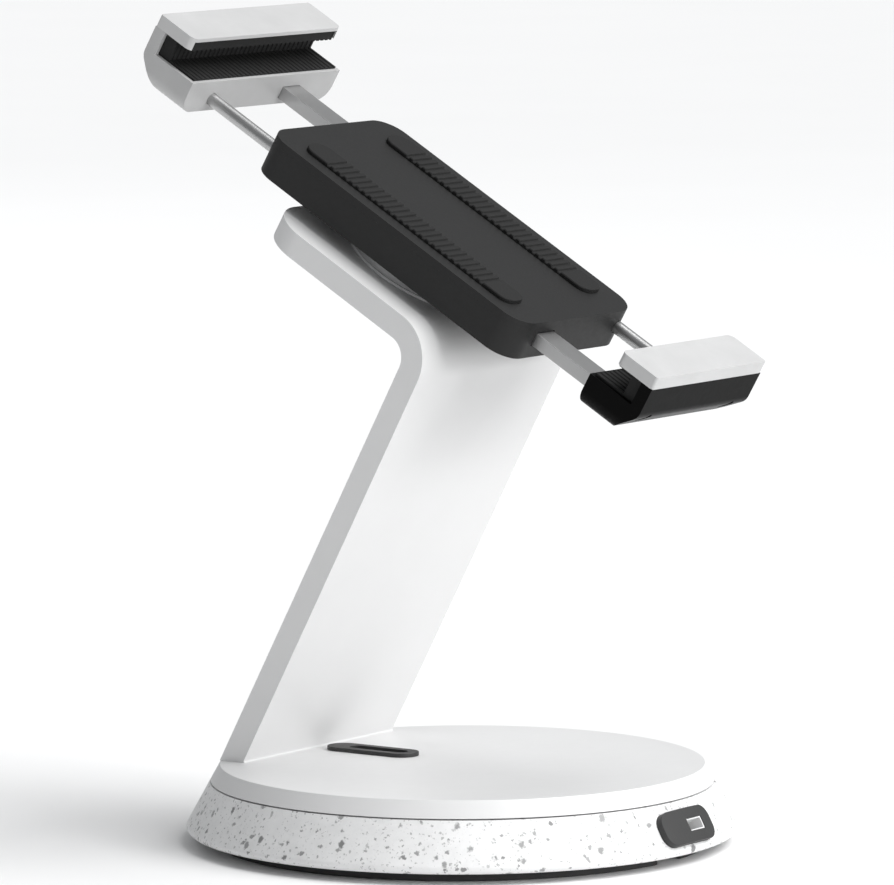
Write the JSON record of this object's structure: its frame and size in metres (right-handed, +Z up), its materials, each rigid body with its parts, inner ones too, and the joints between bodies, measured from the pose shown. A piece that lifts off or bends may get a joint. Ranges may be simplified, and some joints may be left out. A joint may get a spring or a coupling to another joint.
{
  "type": "tablet stand",
  "caption": "Freestanding tablet stand: weighted round base, turntable with a leaning arm, and a turning clamp head with two jaws that open and close together.",
  "frame": {"origin": "middle of the foot's underside, on the axis the turntable turns about", "axes": "+Z up, -Y towards the user, +X to the user's right"},
  "size_m": [0.1626, 0.1755, 0.2427],
  "materials": {
    "white_coat": "fine satin powder coat on steel",
    "speckled_plastic": "recycled plastic, white with grey flecks",
    "cast_ballast": "as cast, sealed",
    "plated_steel": "zinc plated",
    "fasteners": "bright zinc",
    "rubber": "matt",
    "dark_plastic": "fine moulded texture",
    "housing_plastic": "fine moulded texture",
    "bearing_plastic": "acetal",
    "cast_hub": "turned",
    "brass_gear": "cut",
    "grey_shell": "satin coat",
    "white_cap": "satin coat",
    "black_shell": "satin to gloss"
  },
  "bodies": {
    "base": {"base_ring": "speckled_plastic", "ballast": "cast_ballast", "bottom_plate": "plated_steel", "foot_pad": "rubber", "lock_surround": "dark_plastic", "lock_plate": "plated_steel", "base_screws": "fasteners", "swivel_bush": "bearing_plastic", "glide_ring": "bearing_plastic", "swivel_stop_pin": "plated_steel"},
    "turntable": {"turntable_disc": "white_coat", "arm": "white_coat", "cable_grommet": "dark_plastic", "swivel_retainer": "plated_steel", "retainer_screws": "fasteners", "head_bush": "bearing_plastic", "friction_washer": "bearing_plastic", "head_stop_pin": "plated_steel", "pivot_cap": "dark_plastic"},
    "head": {"head_hub": "cast_hub", "hub_screws": "fasteners", "hub_washer": "plated_steel", "hub_spring_washer": "fasteners", "hub_bolt": "fasteners", "clamp_housing": "housing_plastic", "clamp_cover": "housing_plastic", "cover_screws": "fasteners", "cradle_pads": "rubber", "pinion_pin": "plated_steel", "jaw_lock_screw": "fasteners"},
    "pinion": {"pinion": "brass_gear"},
    "upper_jaw": {"upper_rack": "plated_steel", "upper_guide_rod": "plated_steel", "upper_shell": "grey_shell", "upper_cap": "white_cap", "upper_liner": "rubber", "upper_screws": "fasteners"},
    "lower_jaw": {"lower_rack": "plated_steel", "lower_guide_rod": "plated_steel", "lower_shell": "black_shell", "lower_cap": "white_cap", "lower_liner": "rubber", "lower_screws": "fasteners"}
  },
  "joints": [
    {"name": "base_swivel", "type": "hinge", "parent": "base", "child": "turntable", "pos_m": [0, 0, 0.0181], "axis": [0, 0, 1], "range_deg": [-165, 165]},
    {"name": "head_turn", "type": "hinge", "parent": "turntable", "child": "head", "pos_m": [0, 0.0022, 0.184], "axis": [0, -0.5045, 0.8634], "range_deg": [-90, 90]},
    {"name": "upper_jaw_slide", "type": "slide", "parent": "head", "child": "upper_jaw", "axis": [0, 0.8634, 0.5045], "range_m": [-0.024, 0.02]},
    {"name": "lower_jaw_slide", "type": "slide", "parent": "head", "child": "lower_jaw", "axis": [0, -0.8634, -0.5045], "range_m": [-0.024, 0.02]},
    {"name": "pinion_spin", "type": "hinge", "parent": "head", "child": "pinion", "pos_m": [0, 0.0022, 0.184], "axis": [0, -0.5045, 0.8634], "range_deg": [-116, 97]}
  ],
  "couplings": [
    {"joint": "lower_jaw_slide", "follows": "upper_jaw_slide", "ratio": 1},
    {"joint": "pinion_spin", "follows": "upper_jaw_slide", "rad_per_m": 83.333}
  ]
}
